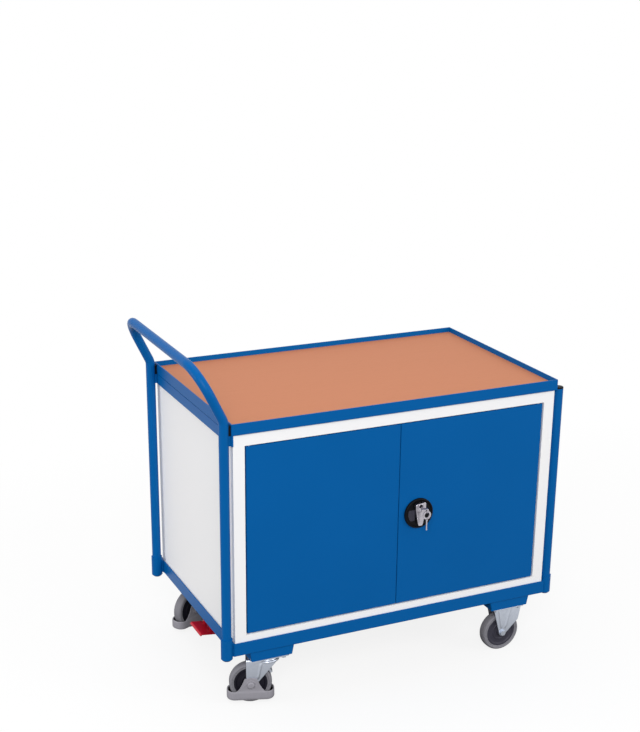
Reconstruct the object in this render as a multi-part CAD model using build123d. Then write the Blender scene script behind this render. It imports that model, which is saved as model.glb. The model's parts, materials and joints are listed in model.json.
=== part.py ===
from build123d import *
import os
from math import copysign, cos, pi, radians, sin, sqrt

# Mobile workbench: two board trays on round posts, a steel cabinet between them,
# a push handle bent from the two left posts, two swivel castors with a shared brake
# at the handle end and two fixed castors at the other end.
# X runs along the length (handle at -X), the doors face -Y, Z is up from the floor.

# Trays: bent steel angle rails round a board
tray_length = 1030
tray_width = 640
worktop_height = 878
rail_sheet = 3
rail_leg = 30
rail_bend = 2.5
top_lip = 15
top_board = 15
bottom_lip = 15
bottom_board = 22
board_clearance = 0.5

# Posts, sockets and the push handle
post_diameter = 27.5
post_wall = 2
post_gap = 3.5
right_post_gap = 0.2
socket_wall = 3
socket_rise = 15
socket_drop = 12
right_socket_drop = 5
socket_floor = 5
socket_chamfer = 5
socket_tab_width = 18
fit_gap = 0.05
handle_rise = 152
handle_knee = 6
handle_reach = 70
handle_corner = 82
handle_bend = 38
right_post_drop = 31
cap_height = 5
cap_round = 2.5
cap_plug = 15
saddle_width = 18
saddle_height = 27
saddle_wrap = 4
cross_bar_height = 30
cross_bar_sheet = 5
cross_bar_setback = 18

# Castor beams: folded steel pans under the lower tray
beam_height = 30
beam_width = 126
beam_flare = 6
beam_sheet = 3
beam_setback = 4
beam_stem_hole = 8

# Castors
wheel_diameter = 125
tyre_width = 32
tyre_depth = 14
tyre_shoulder = 7
castor_height = 155
castor_inset = 118
castor_edge = 45
plate_length = 110
plate_width = 80
plate_sheet = 4
plate_pitch_x = 80
plate_pitch_y = 60
plate_corner = 8
bolt_diameter = 8
bolt_hole_gap = 0.3
bolt_head = 6
bolt_across_flats = 13
bolt_spare = 2
axle_diameter = 10
axle_head = 6
axle_across_flats = 16
run_gap = 0.06
fork_sheet = 3
fork_side_gap = 3.5
fork_foot = 13
fixed_axle_offset = 8
fixed_fork_foot = 11
fixed_fork_front = 42
fixed_fork_back = 55
fixed_knee_back = 54
fixed_knee_rise = 37
hub_boss = 14
hub_side_gap = 0.6
hub_web = 10
hub_rim = 5
hub_rim_width = 29

# Swivel heads
swivel_trail = 48
swivel_rest_angles = (-19, 24)
crown_sheet = 4
crown_back = 59
crown_front = 26
race_radius = 32
race_height = 9
race_slope = 4
king_pin_diameter = 22
king_pin_flange = 30
king_pin_flange_height = 3.5
lift_gap = 0.3
guard_length = 136
guard_sheet = 3
guard_low = 14
guard_high = 40
guard_corner = 16
guard_gap = 0.2
guard_waist = 31
guard_waist_rise = 18
guard_cap = 18
guard_cap_rise = 21.5

# Brake: a pedal on a cross shaft presses a stem through each king pin
shoe_gap = 2.8
shoe_thickness = 6
shoe_width = 24
shoe_start = 27
shoe_end = 51
stem_diameter = 12
stem_rise = 10
stem_sink = 1.5
brake_shaft_diameter = 10
brake_finger = 14
brake_finger_width = 12
brake_nose = 4
brake_shaft_rise = 10
brake_hub = 8
brake_bracket_y = 200
brake_bracket_width = 10
brake_bracket_length = 24
pedal_width = 90
pedal_depth = 48
pedal_sheet = 5
pedal_lip = 7
pedal_edge_round = 4
pedal_top = 126
pedal_tilt = 7
pedal_overhang = 1
pedal_arm_y = 26
pedal_arm_width = 8
pedal_arm_height = 12
pedal_knee = 12
pedal_toe_rise = 2
beam_slot_margin = 8
beam_slot_depth = 52
beam_slot_top = 6

# Cabinet
cabinet_end_gap = 2.5
cabinet_side_gap = 3
cabinet_sheet = 1.5
frame_width = 34
frame_depth = 25
shelf_thickness = 25
shelf_back_gap = 6
shelf_front_gap = 30
shelf_side_gap = 2
shelf_height = 500
clip_length = 40
clip_drop = 14
clip_reach = 12
clip_inset = 90

# Doors
door_recess = 1
door_depth = 18
door_edge_gap = 4.5
door_height_gap = 3.5
door_middle_gap = 2
door_edge_round = 1.2
hinge_inset = 10
hinge_setback = 6
hinge_pin_diameter = 6
hinge_pin_grip = 10
hinge_head_diameter = 10

# Turn-grip lock on the right door
lock_from_middle = 64
rosette_diameter = 92
rosette_height = 8
rosette_rim = 6
rosette_dish = 4
rosette_round = 2
grip_collar = 16
grip_head = 17
grip_head_offset = 18
grip_tail = 8
grip_tail_offset = 27
grip_stand = 3
grip_thickness = 10
grip_round = 2.5
spindle_diameter = 16
spindle_hole_gap = 1
cam_radius = 34
cam_sheet = 3
cam_face_gap = 1
cam_start = 13
lock_throw = 12
lock_pin_diameter = 6
lock_slot_gap = 0.5
lock_rod_diameter = 8
lock_rod_gap = 1.5
lock_rod_end_gap = 0.5
lock_rod_tail = 2
lock_guide_offset = 120
lock_guide_width = 20
lock_guide_height = 16
lock_guide_wall = 2.5
strike_gap = 2
plug_offset = 25
plug_diameter = 12
plug_depth = 8
plug_proud = 0.3
key_sheet = 2.2
key_stem = 14
key_stem_width = 7
key_bow_length = 22
key_bow_width = 12
key_slot_length = 15
key_slot_width = 5
ring_radius = 7.3
ring_wire = 0.9
ring_offset = 4
ring_hang = 2
spare_bow = 13
spare_hole = 8
spare_blade = 34.5
spare_blade_width = 8

# Places worked out from the sizes above
half_length = tray_length / 2
half_width = tray_width / 2
top_rail = top_lip + top_board + rail_sheet
bottom_rail = bottom_lip + bottom_board + rail_sheet
top_tray_low = worktop_height - top_rail
plate_low = castor_height - plate_sheet
crown_top = plate_low - race_height
crown_low = crown_top - crown_sheet
bottom_tray_low = castor_height + beam_height
bottom_board_top = bottom_tray_low + rail_sheet + bottom_board
post_radius = post_diameter / 2
post_x = half_length + post_gap + post_radius
right_post_x = half_length + right_post_gap + post_radius
post_y = half_width - post_radius
socket_radius = post_radius + fit_gap + socket_wall
socket_low = bottom_tray_low - socket_drop
right_socket_low = bottom_tray_low - right_socket_drop
socket_high = bottom_tray_low + bottom_rail + socket_rise
post_foot = socket_low + socket_floor
right_post_foot = right_socket_low + socket_floor
handle_height = worktop_height + handle_rise
right_post_height = worktop_height - right_post_drop
castor_x = half_length - castor_inset
castor_y = half_width - castor_edge
castor_sides = (-castor_y, castor_y)
wheel_radius = wheel_diameter / 2
axle_radius = axle_diameter / 2
bolt_radius = bolt_diameter / 2
fork_inner = tyre_width / 2 + fork_side_gap
fork_outer = fork_inner + fork_sheet
guard_inner = fork_outer + guard_gap
guard_outer = guard_inner + guard_sheet
beam_top_half = beam_width / 2 + beam_flare
beam_floor = castor_height + beam_sheet
stem_top = castor_height + stem_rise
brake_shaft_x = -castor_x + brake_finger
brake_shaft_z = stem_top + brake_shaft_rise
cabinet_half = half_length - rail_sheet - cabinet_end_gap
cabinet_front = -half_width + rail_sheet + cabinet_side_gap
cabinet_back = -cabinet_front
opening_half = cabinet_half - frame_width
opening_low = bottom_board_top + frame_width
opening_high = top_tray_low - frame_width
door_face = cabinet_front + door_recess
door_back = door_face + door_depth
door_low = opening_low + door_height_gap
door_high = opening_high - door_height_gap
door_outer = opening_half - door_edge_gap
hinge_x = door_outer - hinge_inset
hinge_y = door_face + hinge_setback
lock_x = lock_from_middle
lock_z = (door_low + door_high) / 2
rosette_face = door_face - rosette_height
dish_face = rosette_face + rosette_dish
grip_low = dish_face - lift_gap
grip_under = grip_low - grip_stand
grip_face = grip_under - grip_thickness
cam_front = door_face + cabinet_sheet + cam_face_gap
cam_back = cam_front + cam_sheet
lock_rod_y = cam_back + lock_rod_gap + lock_rod_diameter / 2
key_z = lock_z + plug_offset
plug_face = grip_face - plug_proud
bow_y = plug_face - key_stem - key_bow_width / 2
ring_x = lock_x + ring_offset
key_above_ring = ring_hang + key_sheet / 2
ring_ahead = key_slot_width / 2 - ring_wire - lift_gap + sqrt(ring_radius ** 2 - key_above_ring ** 2)
ring_y = bow_y - ring_ahead
ring_z = key_z - ring_hang
spare_z = ring_z - ring_radius + ring_wire + lift_gap - spare_hole


def block(x, y, z):
    """A box between pairs of X, Y and Z coordinates."""
    low = Vector(x[0], y[0], z[0])
    size = Vector(x[1], y[1], z[1]) - low
    return Pos(*(low + size / 2)) * Box(*size)


def pole(radius, x, y, low, high):
    """An upright cylinder between two heights."""
    return Pos(x, y, low) * Cylinder(radius, high - low, align=(Align.CENTER, Align.CENTER, Align.MIN))


def shaft_y(radius, x, z, low, high):
    """A cylinder along Y between two Y coordinates."""
    return Pos(x, (low + high) / 2, z) * Rot(X=90) * Cylinder(radius, high - low)


def hex_y(flats, x, z, low, high):
    """A hexagon bar along Y between two Y coordinates."""
    bar = extrude(RegularPolygon(flats / 2, 6, major_radius=False), (high - low) / 2, both=True)
    return Pos(x, (low + high) / 2, z) * Rot(X=90) * bar


def upright(face, low, high):
    """A plate cut from a face drawn in X and Z, between two Y coordinates."""
    return Pos(0, (low + high) / 2, 0) * Rot(X=90) * extrude(face, (high - low) / 2, both=True)


def hull_face(*shapes):
    """The face stretched round several flat shapes."""
    edges = ShapeList()
    for shape in shapes:
        edges += shape.edges()
    return make_hull(edges)


def group(*solids):
    """Separate solids kept together in one node."""
    return Compound([part for solid in solids for part in solid.solids()])


def mirrored_x(solid):
    return mirror(solid, Plane.YZ)


def mirrored_y(solid):
    return mirror(solid, Plane.XZ)


# Trays

def angle_rail(length, height, leg_length):
    """An angle rail along X with its outer face at y = 0 and its foot at z = 0."""
    wall = block((-length / 2, length / 2), (0, rail_sheet), (0, height))
    leg = block((-leg_length / 2, leg_length / 2), (0, rail_leg), (0, rail_sheet))
    rail = wall + leg
    bend = rail.edges().filter_by(Axis.X).group_by(Axis.Z)[0].sort_by(Axis.Y)[0]
    return fillet(bend, rail_bend)


def tray_frame(height, low):
    """Two long rails with two end rails between them."""
    long_rail = Pos(0, -half_width, low) * angle_rail(tray_length, height, tray_length)
    end_length = tray_width - 2 * rail_sheet
    end_leg = tray_width - 2 * rail_leg
    end_rail = Pos(-half_length, 0, low) * Rot(Z=-90) * angle_rail(end_length, height, end_leg)
    return group(long_rail, mirrored_y(long_rail), end_rail, mirrored_x(end_rail))


def tray_board(low, thickness):
    x = half_length - rail_sheet - board_clearance
    y = half_width - rail_sheet - board_clearance
    return block((-x, x), (-y, y), (low, low + thickness))


# Posts and handle

def post_socket(x, low):
    """A welded sleeve with a closed foot, flat against the end rail, with a tab to the rail."""
    rail_x = copysign(half_length, x)
    sleeve = pole(socket_radius, x, -post_y, low, socket_high)
    sleeve = chamfer(sleeve.edges().group_by(Axis.Z)[0], socket_chamfer)
    sleeve -= block(sorted((0, rail_x)), (-tray_width, 0), (low, socket_high))
    tab_y = (-post_y - socket_tab_width / 2, -post_y + socket_tab_width / 2)
    tab = block(sorted((x, rail_x)), tab_y, (bottom_tray_low, bottom_tray_low + bottom_rail))
    return sleeve + tab - pole(post_radius + fit_gap, x, -post_y, low + socket_floor, socket_high)


def handle_tube():
    """One bent tube: front left post, push handle and rear left post."""
    bar_x = -post_x - handle_reach
    knee = worktop_height + handle_knee
    points = [
        (-post_x, -post_y, post_foot),
        (-post_x, -post_y, knee),
        (bar_x, -post_y, handle_height),
        (bar_x, post_y, handle_height),
        (-post_x, post_y, knee),
        (-post_x, post_y, post_foot),
    ]
    route = FilletPolyline(*points, radius=[handle_bend, handle_corner, handle_corner, handle_bend])
    foot = Plane(points[0], z_dir=(0, 0, 1))
    outer = sweep(foot * Circle(post_radius), route)
    inner = sweep(foot * Circle(post_radius - post_wall), route)
    return outer - inner


def right_post():
    outer = pole(post_radius, right_post_x, -post_y, right_post_foot, right_post_height)
    return outer - pole(post_radius - post_wall, right_post_x, -post_y, right_post_foot, right_post_height)


def post_cap():
    head = pole(post_radius, right_post_x, -post_y, right_post_height, right_post_height + cap_height)
    head = fillet(head.edges().group_by(Axis.Z)[-1], cap_round)
    plug_radius = post_radius - post_wall - fit_gap
    return head + pole(plug_radius, right_post_x, -post_y, right_post_height - cap_plug, right_post_height)


def post_saddle():
    """The spacer between a left post and the upper end rail, hollowed to fit the post."""
    x = (-half_length - post_gap - saddle_wrap, -half_length)
    y = (-post_y - saddle_width / 2, -post_y + saddle_width / 2)
    z = (top_tray_low, top_tray_low + saddle_height)
    return block(x, y, z) - pole(post_radius + fit_gap, -post_x, -post_y, *z)


def cross_bar(setback=0):
    """The flat bar welded under an upper end rail, set back from its corners where asked."""
    x = (-half_length, -half_length + cross_bar_sheet)
    y = half_width - setback
    return block(x, (-y, y), (top_tray_low - cross_bar_height, top_tray_low))


# Castor beams and fasteners

def castor_bolt_places():
    """X, Y of every castor bolt, castor by castor."""
    places = []
    for x in (-castor_x, castor_x):
        for y in castor_sides:
            for side in (-1, 1):
                for end in (-1, 1):
                    places.append((x + side * plate_pitch_x / 2, y + end * plate_pitch_y / 2))
    return places


def bolt_holes(low, high):
    return [pole(bolt_radius + bolt_hole_gap, x, y, low, high) for x, y in castor_bolt_places()]


def beam_block(x, inset):
    """A block across the tray, flared along X towards the top, drawn in by an inset."""
    low = beam_width / 2 - inset
    high = beam_top_half - inset
    foot = castor_height + inset
    corners = [(x - low, foot), (x + low, foot), (x + high, bottom_tray_low), (x - high, bottom_tray_low)]
    end = half_width - beam_setback - inset
    return upright(make_face(Polyline(*corners, close=True)), -end, end)


def castor_beam(side):
    """An open-topped pan across the tray, with the castor bolt holes."""
    x = side * castor_x
    pan = beam_block(x, 0)
    corner_edges = [edge for edge in pan.edges() if edge.bounding_box().size.Z > beam_height / 2]
    pan = fillet(corner_edges, beam_sheet) - beam_block(x, beam_sheet)
    return pan - bolt_holes(castor_height, beam_floor)


def left_beam():
    """The beam over the swivel castors, cut for the brake stems and pedal arms."""
    beam = castor_beam(-1)
    for y in castor_sides:
        beam -= pole(beam_stem_hole, -castor_x, y, castor_height, beam_floor)
    slot_y = pedal_arm_y + pedal_arm_width / 2 + beam_slot_margin
    slot_start = -castor_x - beam_top_half
    slot_x = (slot_start, slot_start + beam_slot_depth)
    return beam - block(slot_x, (-slot_y, slot_y), (castor_height, bottom_tray_low - beam_slot_top))


def castor_bolt(x, y):
    head = extrude(RegularPolygon(bolt_across_flats / 2, 6, major_radius=False), bolt_head)
    shank = pole(bolt_radius, x, y, plate_low, beam_floor + bolt_head + bolt_spare)
    return Pos(x, y, plate_low - bolt_head) * head + shank


def castor_nut(x, y):
    nut = extrude(RegularPolygon(bolt_across_flats / 2, 6, major_radius=False), bolt_head)
    return Pos(x, y, beam_floor) * nut - pole(bolt_radius + fit_gap, x, y, beam_floor, bottom_tray_low)


# Wheels

def tyre():
    inner = wheel_radius - tyre_depth + fit_gap
    section = Pos((inner + wheel_radius) / 2, 0) * Rectangle(wheel_radius - inner, tyre_width)
    section = fillet(section.vertices().group_by(Axis.X)[-1], tyre_shoulder)
    return Pos(0, 0, wheel_radius) * revolve(section, Axis.Y)


def hub():
    """A moulded wheel centre: boss, web and rim."""
    bore = axle_radius + run_gap
    rim_out = wheel_radius - tyre_depth
    rim_in = rim_out - hub_rim
    boss_side = fork_inner - hub_side_gap
    half = [
        (bore, boss_side),
        (hub_boss, boss_side),
        (hub_boss, hub_web / 2),
        (rim_in, hub_web / 2),
        (rim_in, hub_rim_width / 2),
        (rim_out, hub_rim_width / 2),
    ]
    outline = half + [(r, -y) for r, y in reversed(half)]
    section = make_face(Polyline(*outline, close=True))
    return Pos(0, 0, wheel_radius) * revolve(section, Axis.Y)


def wheel_axle(half_grip):
    """A hexagon bolt and nut through both fork legs."""
    end = half_grip + axle_head
    axle = shaft_y(axle_radius, 0, wheel_radius, -half_grip, half_grip)
    axle += hex_y(axle_across_flats, 0, wheel_radius, -end, -half_grip)
    return axle + hex_y(axle_across_flats, 0, wheel_radius, half_grip, end)


def fork_legs(axle_x, foot_radius, *edges):
    """Two leg plates, each stretched round the foot at the axle and the given edges."""
    foot = Pos(axle_x, wheel_radius) * Circle(foot_radius)
    leg = hull_face(foot, *edges) - Pos(axle_x, wheel_radius) * Circle(axle_radius + fit_gap)
    return upright(leg, fork_inner, fork_outer) + upright(leg, -fork_outer, -fork_inner)


def castor_plate():
    x, y = plate_length / 2, plate_width / 2
    plate = block((-x, x), (-y, y), (plate_low, castor_height))
    return fillet(plate.edges().filter_by(Axis.Z), plate_corner)


def plate_at(x, y):
    return Pos(x, y, 0) * castor_plate() - bolt_holes(plate_low, castor_height)


def fixed_fork(y):
    """A castor plate with two legs that bulge out behind the wheel."""
    knee = (fixed_knee_back - fixed_axle_offset, wheel_radius + fixed_knee_rise)
    back = (fixed_fork_back, plate_low)
    top_edge = Line((-fixed_fork_front, plate_low), back)
    legs = fork_legs(-fixed_axle_offset, fixed_fork_foot, top_edge, Line(back, knee))
    return plate_at(castor_x, y) + Pos(castor_x, y, 0) * legs


def fixed_axle_place(y):
    return Pos(castor_x - fixed_axle_offset, y, 0)


# Swivel castors, drawn round the swivel axis with the wheel trailing towards -X

def swivel_place(y, angle):
    return Pos(-castor_x, y, 0) * Rot(Z=angle)


def trailing(solid):
    return Pos(-swivel_trail, 0, 0) * solid


def swivel_plate(y):
    pin_hole = pole(king_pin_diameter / 2 + fit_gap, -castor_x, y, plate_low, castor_height)
    return plate_at(-castor_x, y) - pin_hole


def king_pin():
    """A hollow pin that hangs from the plate and carries the fork on its flange."""
    flange_top = crown_low - lift_gap
    pin = pole(king_pin_diameter / 2, 0, 0, flange_top, castor_height)
    pin += pole(king_pin_flange / 2, 0, 0, flange_top - king_pin_flange_height, flange_top)
    return pin - pole(stem_diameter / 2 + run_gap, 0, 0, 0, castor_height)


def swivel_race():
    """The bearing ring between plate and crown, with a sloped skirt."""
    low = crown_top + lift_gap
    skirt = Pos(0, 0, low) * Cone(race_radius, race_radius - race_slope, plate_low - low,
                                  align=(Align.CENTER, Align.CENTER, Align.MIN))
    return skirt - pole(king_pin_diameter / 2 + fit_gap, 0, 0, low, plate_low)


def swivel_fork():
    top_edge = Line((-crown_back, crown_low), (crown_front, crown_low))
    legs = fork_legs(-swivel_trail, fork_foot, top_edge)
    crown = block((-crown_back, crown_front), (-fork_outer, fork_outer), (crown_low, crown_top))
    crown += pole(race_radius + crown_sheet, 0, 0, crown_low, crown_top)
    return legs + crown - pole(king_pin_diameter / 2 + run_gap, 0, 0, crown_low, crown_top)


def wheel_guard():
    """A foot guard: a low ring round the wheel and two bell-shaped flanks at the axle."""
    end = guard_length / 2
    ring = RectangleRounded(guard_length, 2 * guard_outer, guard_corner)
    ring -= RectangleRounded(guard_length - 2 * guard_sheet, 2 * guard_inner, guard_corner - guard_sheet)
    ring = Pos(0, 0, guard_low) * extrude(ring, guard_high - guard_low)
    flat_end = end - guard_corner
    waist = guard_high + guard_waist_rise
    top = wheel_radius + guard_cap_rise
    outline = [
        Line((-flat_end, guard_low), (flat_end, guard_low)),
        Line((flat_end, guard_low), (flat_end, guard_high)),
        ThreePointArc((flat_end, guard_high), (guard_waist, waist), (guard_cap, top)),
        Line((guard_cap, top), (-guard_cap, top)),
        ThreePointArc((-guard_cap, top), (-guard_waist, waist), (-flat_end, guard_high)),
        Line((-flat_end, guard_high), (-flat_end, guard_low)),
    ]
    flank = make_face(outline) - Pos(0, wheel_radius) * Circle(axle_radius + fit_gap)
    return ring + upright(flank, guard_inner, guard_outer) + upright(flank, -guard_outer, -guard_inner)


# Brake

def brake_shoe():
    """A shoe that hangs over the tyre on a stem through the king pin."""
    inner = wheel_radius + shoe_gap
    outer = inner + shoe_thickness
    first, middle, last = (radians(a) for a in (shoe_start, (shoe_start + shoe_end) / 2, shoe_end))

    def at(radius, angle):
        return (radius * cos(angle), radius * sin(angle))

    outline = [
        ThreePointArc(at(inner, first), at(inner, middle), at(inner, last)),
        Line(at(inner, last), at(outer, last)),
        ThreePointArc(at(outer, last), at(outer, middle), at(outer, first)),
        Line(at(outer, first), at(inner, first)),
    ]
    pad = Pos(-swivel_trail, 0, wheel_radius) * upright(make_face(outline), -shoe_width / 2, shoe_width / 2)
    stem_foot = wheel_radius + (inner + stem_sink) * sin(last)
    return pad + pole(stem_diameter / 2, 0, 0, stem_foot, stem_top)


def brake_shaft():
    """The cross shaft with a finger over each stem."""
    end = castor_y + brake_finger_width
    bar = shaft_y(brake_shaft_diameter / 2, brake_shaft_x, brake_shaft_z, -end, end)
    nose = Pos(-castor_x, stem_top + lift_gap + brake_nose) * Circle(brake_nose)
    root = Pos(brake_shaft_x, brake_shaft_z) * Circle(brake_hub)
    finger = hull_face(nose, root)
    for y in castor_sides:
        bar += upright(finger, y - brake_finger_width / 2, y + brake_finger_width / 2)
    return bar


def brake_bracket(y):
    """A bearing block for the cross shaft on the floor of the beam."""
    side = brake_bracket_length / 2
    top = brake_shaft_z + brake_hub
    ends = (y - brake_bracket_width / 2, y + brake_bracket_width / 2)
    body = block((brake_shaft_x - side, brake_shaft_x + side), ends, (beam_floor, top))
    body = fillet(body.edges().filter_by(Axis.Y).group_by(Axis.Z)[-1], brake_hub)
    return body - shaft_y(brake_shaft_diameter / 2 + run_gap, brake_shaft_x, brake_shaft_z, *ends)


def brake_pedal():
    """A tilted foot plate with a turned-down lip, on two cranked arms clamped to the shaft."""
    out = -half_length - pedal_overhang
    half = pedal_width / 2
    plate = block((out, out + pedal_depth), (-half, half), (pedal_top - pedal_sheet, pedal_top))
    lip = block((out, out + pedal_sheet), (-half, half), (pedal_top - pedal_lip, pedal_top))
    pedal = plate + lip
    nose = pedal.edges().filter_by(Axis.Y).group_by(Axis.Z)[-1].sort_by(Axis.X)[0]
    pedal = fillet(nose, pedal_edge_round)
    pedal = pedal.rotate(Axis((out, 0, pedal_top), (0, 1, 0)), pedal_tilt)
    knee_x = -castor_x - beam_top_half - pedal_knee
    low = pedal_arm_height / 2
    root = Pos(brake_shaft_x, brake_shaft_z) * Circle(brake_hub)
    knee = Pos(knee_x, brake_shaft_z - low) * Circle(low)
    toe_reach = pedal_depth - low
    toe_z = pedal_top + pedal_toe_rise - toe_reach * sin(radians(pedal_tilt))
    toe = Pos(out + toe_reach, toe_z) * Circle(low)
    arm = hull_face(root, knee) + hull_face(knee, toe)
    arm -= Pos(brake_shaft_x, brake_shaft_z) * Circle(brake_shaft_diameter / 2 + fit_gap)
    for y in (-pedal_arm_y, pedal_arm_y):
        pedal += upright(arm, y - pedal_arm_width / 2, y + pedal_arm_width / 2)
    return pedal


# Cabinet

def side_panel():
    x = (-cabinet_half, -cabinet_half + cabinet_sheet)
    y = (cabinet_front + frame_depth, cabinet_back - cabinet_sheet)
    return block(x, y, (bottom_board_top, top_tray_low))


def back_panel():
    y = (cabinet_back - cabinet_sheet, cabinet_back)
    return block((-cabinet_half, cabinet_half), y, (bottom_board_top, top_tray_low))


def cabinet_deck(low):
    """A flat sheet between the side panels, used for the roof and the floor."""
    x = cabinet_half - cabinet_sheet
    y = (cabinet_front + frame_depth, cabinet_back - cabinet_sheet)
    return block((-x, x), y, (low, low + cabinet_sheet))


def box_bar(x, z):
    """A hollow bar of the front frame; the shorter way across is its section."""
    y = (cabinet_front, cabinet_front + frame_depth)
    bar = block(x, y, z)
    hollow_y = (y[0] + cabinet_sheet, y[1] - cabinet_sheet)
    if x[1] - x[0] < z[1] - z[0]:
        return bar - block((x[0] + cabinet_sheet, x[1] - cabinet_sheet), hollow_y, z)
    return bar - block(x, hollow_y, (z[0] + cabinet_sheet, z[1] - cabinet_sheet))


def front_frame():
    """Two upright stiles with a head and a sill between them, drilled for pins and lock rods."""
    stile = box_bar((-cabinet_half, -opening_half), (bottom_board_top, top_tray_low))
    bars = [
        box_bar((-opening_half, opening_half), (opening_high, top_tray_low)),
        box_bar((-opening_half, opening_half), (bottom_board_top, opening_low)),
    ]
    strike = lock_rod_diameter / 2 + strike_gap
    for skin in ((opening_high, opening_high + cabinet_sheet), (opening_low - cabinet_sheet, opening_low)):
        for x in (-hinge_x, hinge_x):
            hole = pole(hinge_pin_diameter / 2 + fit_gap, x, hinge_y, *skin)
            bars = [bar - hole for bar in bars]
        rod_hole = pole(strike, lock_x, lock_rod_y, *skin)
        bars = [bar - rod_hole for bar in bars]
    return group(stile, mirrored_x(stile), *bars)


def hinge_pin(x, upper):
    """A headed pin, fixed in the head or sill, that a door turns on."""
    radius = hinge_pin_diameter / 2
    if upper:
        skin = opening_high + cabinet_sheet
        head = pole(hinge_head_diameter / 2, x, hinge_y, skin, skin + radius)
        return head + pole(radius, x, hinge_y, door_high - hinge_pin_grip, skin)
    skin = opening_low - cabinet_sheet
    head = pole(hinge_head_diameter / 2, x, hinge_y, skin - radius, skin)
    return head + pole(radius, x, hinge_y, skin, door_low + hinge_pin_grip)


def shelf():
    """A folded shelf pan with its rim turned down."""
    x = cabinet_half - cabinet_sheet - shelf_side_gap
    y = (cabinet_front + frame_depth + shelf_front_gap, cabinet_back - cabinet_sheet - shelf_back_gap)
    pan = block((-x, x), y, (shelf_height - shelf_thickness, shelf_height))
    inner_y = (y[0] + cabinet_sheet, y[1] - cabinet_sheet)
    inner_x = x - cabinet_sheet
    under = shelf_height - cabinet_sheet
    return pan - block((-inner_x, inner_x), inner_y, (shelf_height - shelf_thickness, under))


def shelf_clip(y):
    """An angle clip on a side panel, under the shelf's rim."""
    x = -cabinet_half + cabinet_sheet
    high = shelf_height - shelf_thickness
    ends = (y - clip_length / 2, y + clip_length / 2)
    wall = block((x, x + cabinet_sheet), ends, (high - clip_drop, high))
    return wall + block((x, x + clip_reach), ends, (high - cabinet_sheet, high))


# Doors

def door_pan(side):
    """A folded door, open at the back, with a pivot hole in its top and bottom folds."""
    inner_edge = door_middle_gap / 2
    low_x, high_x = sorted((side * inner_edge, side * door_outer))
    pan = block((low_x, high_x), (door_face, door_back), (door_low, door_high))
    pan = fillet(pan.faces().sort_by(Axis.Y)[0].edges(), door_edge_round)
    skin = cabinet_sheet
    inner_x = (low_x + skin, high_x - skin)
    inner_z = (door_low + skin, door_high - skin)
    pan -= block(inner_x, (door_face + skin, door_back), inner_z)
    return pan - pole(hinge_pin_diameter / 2 + run_gap, side * hinge_x, hinge_y, 0, worktop_height)


def right_door():
    """The door with the lock: holes for the spindle and for both lock rods."""
    door = door_pan(1)
    door -= shaft_y(spindle_diameter / 2 + spindle_hole_gap, lock_x, lock_z, door_face, cam_front)
    return door - pole(lock_rod_diameter / 2 + run_gap, lock_x, lock_rod_y, 0, worktop_height)


def lock_rosette():
    """A dished round plate with a raised rim."""
    plate = shaft_y(rosette_diameter / 2, lock_x, lock_z, rosette_face, door_face)
    plate = fillet(plate.edges().group_by(Axis.Y)[0], rosette_round)
    plate -= shaft_y(rosette_diameter / 2 - rosette_rim, lock_x, lock_z, rosette_face, dish_face)
    return plate - shaft_y(spindle_diameter / 2 + run_gap, lock_x, lock_z, rosette_face, door_face)


def lock_grip():
    """A turn grip: wide head round the cylinder, narrow tail, collar and spindle."""
    head = Pos(lock_x, lock_z + grip_head_offset) * Circle(grip_head)
    tail = Pos(lock_x, lock_z - grip_tail_offset) * Circle(grip_tail)
    bar = upright(hull_face(head, tail), grip_face, grip_under)
    bar = fillet(bar.edges().group_by(Axis.Y)[0], grip_round)
    bar += shaft_y(grip_collar, lock_x, lock_z, grip_under, grip_low)
    bar += shaft_y(spindle_diameter / 2, lock_x, lock_z, grip_low, cam_back)
    return bar - shaft_y(plug_diameter / 2, lock_x, key_z, grip_face, grip_face + plug_depth + plug_proud)


def lock_cam():
    """A scroll plate: each curved slot moves a rod pin evenly as the plate turns."""
    plate = shaft_y(cam_radius, lock_x, lock_z, cam_front, cam_back)
    plate -= shaft_y(spindle_diameter / 2 + fit_gap, lock_x, lock_z, cam_front, cam_back)
    points = []
    for share in (0, 0.5, 1):
        turn = pi / 2 + share * pi / 2
        reach = cam_start + share * lock_throw
        points.append((reach * cos(turn), reach * sin(turn)))
    slot = SlotArc(ThreePointArc(*points), lock_pin_diameter + 2 * lock_slot_gap)
    for turn in (0, 180):
        plate -= Pos(lock_x, 0, lock_z) * upright(Rot(Z=turn) * slot, cam_front, cam_back)
    return plate


def lock_rod(side):
    """A round rod with a pin in the scroll plate; it ends just inside the door's fold."""
    pin_z = lock_z + side * cam_start
    end = door_high - lock_rod_end_gap if side > 0 else door_low + lock_rod_end_gap
    start = pin_z - side * (lock_pin_diameter / 2 + lock_rod_tail)
    rod = pole(lock_rod_diameter / 2, lock_x, lock_rod_y, min(start, end), max(start, end))
    return rod + shaft_y(lock_pin_diameter / 2, lock_x, pin_z, cam_front, lock_rod_y)


def lock_guide(side):
    """A bored block on the back of the door that a lock rod slides in."""
    z = lock_z + side * lock_guide_offset
    half = lock_guide_width / 2
    back = lock_rod_y + lock_rod_diameter / 2 + lock_guide_wall
    ends = (z - lock_guide_height / 2, z + lock_guide_height / 2)
    body = block((lock_x - half, lock_x + half), (door_face + cabinet_sheet, back), ends)
    return body - pole(lock_rod_diameter / 2 + run_gap, lock_x, lock_rod_y, *ends)


def lock_plug():
    """The cylinder plug that the key turns inside the grip's head."""
    return shaft_y(plug_diameter / 2 - run_gap, lock_x, key_z, plug_face, grip_face + plug_depth)


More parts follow.
